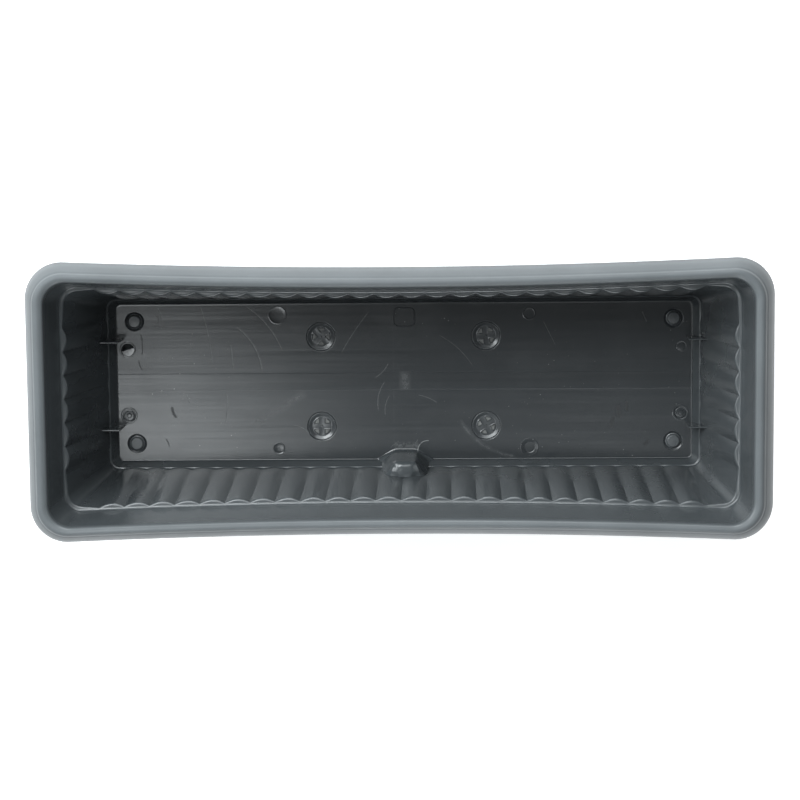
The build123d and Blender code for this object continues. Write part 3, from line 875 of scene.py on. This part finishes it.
SCUFFS = [
    ((-9, -56), (13, -56), 3.6, 0.0), ((-12, -58), (-4, -52), 0.6, 0.5), ((9, -57), (12, -50), 0.5, 0.0),
]
STAINS = [
    ((184, -22), (186, -33), 2.4, 0.0), ((181, -31), (178, -42), 2.2, 0.0),
    ((192, -18), (192, -27), 1.6, 0.0), ((-201, -21), (-197, -31), 1.6, -1.0),
    ((211, -52), (207, -57), 1.4, 0.0), ((-213, 59), (-211, 51), 0.7, 1.0),
    ((-216, 50), (-208, 47), 0.6, 0.5), ((-227, 43), (-226, 24), 0.9, 1.0),
    ((-229, 20), (-226, 11), 0.8, -0.6), ((-207, -49), (-204, -56), 0.7, 0.5),
    ((205, 59), (209, 50), 0.7, 0.0),
]
# Raised burrs along the hood's foot, painted fully pale: real flash and also a painted highlight on the
# foot's edge.
BURRS_AND_HIGHLIGHT = [((11.9, -62), (14.0, -54.6), 0.5, 0.9), ((14.0, -54.6), (21.5, -51.9), 0.45, 1.0)]
INSERT_LINE_Y = 7.6
CORE_LINE_XS = (-9.0, 10.4)


def floor_plastic(name, base):
    """The box's floor: glossy, its base painted dark as shade at the bottom of the box, with flow streaks
    along its length, insert lines, scratches, rubs, dust, and raised burrs painted pale as a highlight.
    """
    s = Shader(name, base, 0.2, 0.75)
    streaks = s.noise(1.0, 6.0, s.stretched((5.0, 330.0, 1.0)), 0.62)
    broad = s.noise(1.0, 3.0, s.stretched((2.2, 42.0, 1.0)), 0.5)
    cloudy = s.noise(17.0, 7.0, None, 0.7)
    scratches = s.strongest([s.stroke(*mark) for mark in HAIR_SCRATCHES])
    rubs = s.math("MULTIPLY", s.strongest([s.stroke(*mark) for mark in BROAD_RUBS]),
                  s.ramp(s.noise(190.0, 4.0, None, 0.7), [(0.35, 0.25), (0.65, 1.0)]))
    scuffs = s.math("MULTIPLY", s.strongest([s.stroke(*mark) for mark in SCUFFS]),
                    s.ramp(s.noise(420.0, 3.0, None, 0.6), [(0.4, 0.1), (0.6, 1.0)]))
    stains = s.strongest([s.stroke(*mark) for mark in STAINS])
    burrs_and_highlight = s.strongest([s.stroke(*mark) for mark in BURRS_AND_HIGHLIGHT])
    specks = dust_specks(s)

    tone = s.mix(s.ramp(broad, [(0.3, 0.0), (0.7, 1.0)]), tuple(c * 0.9 for c in base),
                 tuple(c * 1.1 for c in base))
    tone = s.mix(s.math("MULTIPLY", stains, 0.7), tone, tuple(c * 0.3 for c in base))
    # The burrs go fully pale, a painted highlight along the hood's foot as well as raised flash.
    pale = s.strongest([s.math("MULTIPLY", scratches, 0.08), s.math("MULTIPLY", rubs, 0.12), burrs_and_highlight,
                        s.math("MULTIPLY", scuffs, 0.3), s.math("MULTIPLY", specks, 0.5)])
    s.link(s.mix(pale, tone, (0.34, 0.35, 0.35)), s.surface.inputs["Base Color"])

    gloss = s.ramp(streaks, [(0.3, 0.18), (0.7, 0.23)])
    worn = s.strongest([s.math("MULTIPLY", scratches, 0.08), s.math("MULTIPLY", rubs, 0.12),
                        s.math("MULTIPLY", stains, 0.3), s.ramp(cloudy, [(0.5, 0.0), (0.8, 0.06)])])
    s.link(s.math("ADD", gloss, worn), s.surface.inputs["Roughness"])

    height = s.math("ADD", insert_lines(s), s.math("SUBTRACT", burrs_and_highlight, s.math("MULTIPLY", scratches, 0.2)))
    lines = s.bump(height, 0.3, 0.0002)
    fine = s.bump(streaks, 0.04, 0.0006, lines)
    s.link(s.bump(broad, 0.05, 0.004, fine), s.surface.inputs["Normal"])
    return s


def dust_specks(s):
    """Small pale grains, in loose drifts."""
    cells = s.node("ShaderNodeTexVoronoi")
    cells.inputs["Scale"].default_value = 210.0
    s.link(s.coords, cells.inputs["Vector"])
    near = s.ramp(cells.outputs["Distance"], [(0.05, 1.0), (0.12, 0.0)])
    drift = s.ramp(s.noise(13.0, 3.0), [(0.54, 0.0), (0.66, 1.0)])
    picked = s.math("GREATER_THAN", s.noise(380.0, 0.0), 0.5)
    return s.math("MULTIPLY", s.math("MULTIPLY", near, drift), picked)


def insert_lines(s):
    """Height of the faint strip down the middle and the one across it, where mould inserts met."""
    strips = []
    core_middle, core_half = sum(CORE_LINE_XS) / 2, (CORE_LINE_XS[1] - CORE_LINE_XS[0]) / 2
    for direction, start, half in (((0, 1), (0, 0), INSERT_LINE_Y),
                                   ((1, 0), (core_middle, 0), core_half)):
        away = s.math("ABSOLUTE", s.along(direction, start, half))
        strips.append(s.ramp(away, [(1 - 0.5 / half, 1.0), (1.0, 0.0)]))
    strips[1] = s.math("MULTIPLY", strips[1], 0.2)
    return s.math("MAXIMUM", *strips)


def bonded_fibre(name, base):
    """Grey felted fibre, darker between its strands."""
    s = Shader(name, base, 0.95, 0.2)
    strands = s.noise(1.0, 6.0, s.stretched((900.0, 900.0, 160.0)), 0.7)
    s.link(s.mix(s.ramp(strands, [(0.3, 0.0), (0.7, 1.0)]), tuple(c * 0.62 for c in base), base),
           s.surface.inputs["Base Color"])
    s.surface.inputs["Sheen Weight"].default_value = 0.4
    s.link(s.bump(strands, 0.5, 0.0006), s.surface.inputs["Normal"])
    return s


RIM_COLOUR = (0.124, 0.136, 0.143)
RIM_ROUGHNESS, RIM_SPECULAR = 0.45, 0.3
# The inner wall's colour is the rim's plastic painted darker, as shade inside the deep box.
SHADED_WALL_COLOUR = (0.066, 0.074, 0.079)
# The floor's colour is darker again, painted shade at the bottom of the box.
SHADED_FLOOR_COLOUR = (0.034, 0.0385, 0.042)
TRAY_COLOUR = (0.088, 0.097, 0.104)
PIN_COLOUR = (0.085, 0.093, 0.098)
PLUG_COLOUR = (0.050, 0.055, 0.059)
WICK_COLOUR = (0.26, 0.265, 0.26)


def paint(piece, *shaders):
    """Give a piece its materials."""
    piece.data.materials.clear()
    for shader in shaders:
        piece.data.materials.append(shader.material)
    for face in piece.data.polygons:
        face.material_index = 0


FLOOR_EDGE_X, FLOOR_EDGE_Y = 248.6, 68.7
INSIDE_TOP = 163.5


def paint_box(box, outside, inside, floor):
    """One material for the outside and the rim, one for the inner walls and one for the floor; the inner
    walls and floor are darker copies of the rim's plastic, painted as shade.
    """
    paint(box, outside, inside, floor)
    for face in box.data.polygons:
        x, y = face.center.x / MM, face.center.y / MM
        z = face.center.z / MM - FLOOR_Z
        past_side = abs(y) - wall_line(max(z, 0))
        past_end = abs(x) - end_line(max(z, 0))
        outwards = face.normal.x * x / 276 + face.normal.y * y / 92
        well_inside = -0.1 < z < HOOD_HEIGHT + 1 and past_side < -2 and past_end < -2
        inner_skin = -0.1 < z < INSIDE_TOP and outwards < 0.02 and past_side < 8 and past_end < 8
        near_floor = -3.2 < z < 1.0 and abs(x) < FLOOR_EDGE_X and abs(y) < FLOOR_EDGE_Y
        on_floor = near_floor and face.normal.z > 0.3
        face.material_index = 2 if on_floor else 1 if well_inside or inner_skin else 0


# ---------------------------------------------------------------- the object

def build_object():
    """Every visible piece, riding on its body in place of its CAD node."""
    box_plastic = moulded_plastic("box_plastic", RIM_COLOUR, RIM_ROUGHNESS, RIM_SPECULAR)
    box_inside = inside_plastic("box_inside", SHADED_WALL_COLOUR, RIM_COLOUR, RIM_ROUGHNESS)
    box_floor = floor_plastic("box_floor", SHADED_FLOOR_COLOUR)
    tray_plastic = moulded_plastic("tray_plastic", TRAY_COLOUR)
    pin_plastic = moulded_plastic("pin_plastic", PIN_COLOUR, 0.3, 0.75)
    plug_plastic = moulded_plastic("plug_plastic", PLUG_COLOUR, 0.22, 0.75)
    wick_fibre = bonded_fibre("wick_fibre", WICK_COLOUR)

    box = planter_box()
    paint_box(box, box_plastic, box_inside, box_floor)
    place(box, "box", "planter_box", "box_plastic")
    tray = water_tray()
    paint(tray, tray_plastic)
    place(tray, "tray", "water_tray", "tray_plastic")
    for number, corner in enumerate(CORNERS):
        pin, plug, wick = locking_pin(corner), wick_plug(corner), wick_rod(corner, 40 + number)
        paint(pin, pin_plastic)
        paint(plug, plug_plastic)
        paint(wick, wick_fibre)
        place(pin, f"pin_{corner}", f"locking_pin_{corner}", "pin_plastic")
        place(plug, f"plug_{corner}", f"wick_plug_{corner}", "plug_plastic")
        place(wick, f"plug_{corner}", f"wick_rod_{corner}", "wick_fibre")


def place(piece, body, node, slot):
    """A piece rides on its body and stands for its node."""
    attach(piece, body)
    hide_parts(node)


# ---------------------------------------------------------------- stage, lights, camera

def add_floor():
    """Large plain pale floor, open where the tray covers it so that the underside can be seen."""
    level = -0.0002
    points = [(side_x * x, side_y * y, level) for x, y in ((6.0, 6.0), (0.235, 0.058))
              for side_x, side_y in ((-1, -1), (1, -1), (1, 1), (-1, 1))]
    mesh = bpy.data.meshes.new("stage_floor")
    mesh.from_pydata(points, [], [(i, (i + 1) % 4, 4 + (i + 1) % 4, 4 + i) for i in range(4)])
    floor = bpy.data.objects.new("stage_floor", mesh)
    bpy.context.scene.collection.objects.link(floor)
    s = Shader("stage_floor", (0.9, 0.9, 0.9), 0.9, 0.1)
    s.surface.inputs["Emission Color"].default_value = (1, 1, 1, 1)
    s.surface.inputs["Emission Strength"].default_value = 0.6
    mesh.materials.append(s.material)


def add_light(name, place_at, target, size, power, colour=(0.93, 0.98, 1.0)):
    """Square soft light that points at target."""
    data = bpy.data.lights.new(name, "AREA")
    data.shape = "SQUARE"
    data.size = size
    data.energy = power
    data.color = colour
    lamp = bpy.data.objects.new(name, data)
    lamp.location = place_at
    aim = Vector(target) - Vector(place_at)
    lamp.rotation_euler = aim.to_track_quat("-Z", "Y").to_euler()
    bpy.context.scene.collection.objects.link(lamp)


def add_lights():
    """Soft studio light, strongest from the back left, with a little fill from the front."""
    world = bpy.data.worlds.new("studio")
    world.use_nodes = True
    background = world.node_tree.nodes["Background"]
    background.inputs["Color"].default_value = (1.0, 1.0, 1.0, 1)
    background.inputs["Strength"].default_value = 0.075
    bpy.context.scene.world = world
    middle = (0, 0, 0.1)
    add_light("back_high", (0.0, 1.1, 2.2), middle, 1.0, 12)
    add_light("back_low", (0.0, 1.9, 1.0), middle, 1.0, 24)
    add_light("back_left_high", (-0.9, 0.9, 2.0), middle, 1.0, 30)
    add_light("back_left_low", (-1.85, 1.05, 1.25), middle, 1.0, 24)
    add_light("front_low", (0.0, -1.9, 1.0), middle, 1.0, 20)
    add_light("left_low", (-2.0, 0.2, 1.45), middle, 0.7, 9)
    add_light("right_low", (1.9, 0.4, 1.5), middle, 0.7, 2.5)
    add_light("gloss_left", (-0.52, -0.5, 2.2), middle, 0.5, 4.0)
    add_light("gloss_right", (0.26, -0.6, 2.2), middle, 0.4, 1.0)


CAMERA_ABOVE_FLOOR = (0.05526, 0.23109, 2.02328)


def add_camera():
    """Long lens, nearly straight above, a little behind the middle and tilted forwards."""
    pitch, yaw, roll = math.radians(6.970), math.radians(-1.659), math.radians(0.531)
    to_camera = Matrix.Rotation(roll, 3, "Z") @ Matrix.Rotation(pitch, 3, "X") @ Matrix.Rotation(yaw, 3, "Y")
    data = bpy.data.cameras.new("camera")
    data.sensor_width = 36.0
    data.lens = 106.25
    data.clip_end = 50.0
    camera = bpy.data.objects.new("camera", data)
    x, y, z = CAMERA_ABOVE_FLOOR
    place_at = Matrix.Translation((x, y, z + FLOOR_Z * MM))
    camera.matrix_world = place_at @ to_camera.transposed().to_4x4()
    bpy.context.scene.collection.objects.link(camera)
    bpy.context.scene.camera = camera


add_camera()
build_object()
add_floor()
add_lights()
bpy.context.scene.view_settings.view_transform = "Standard"
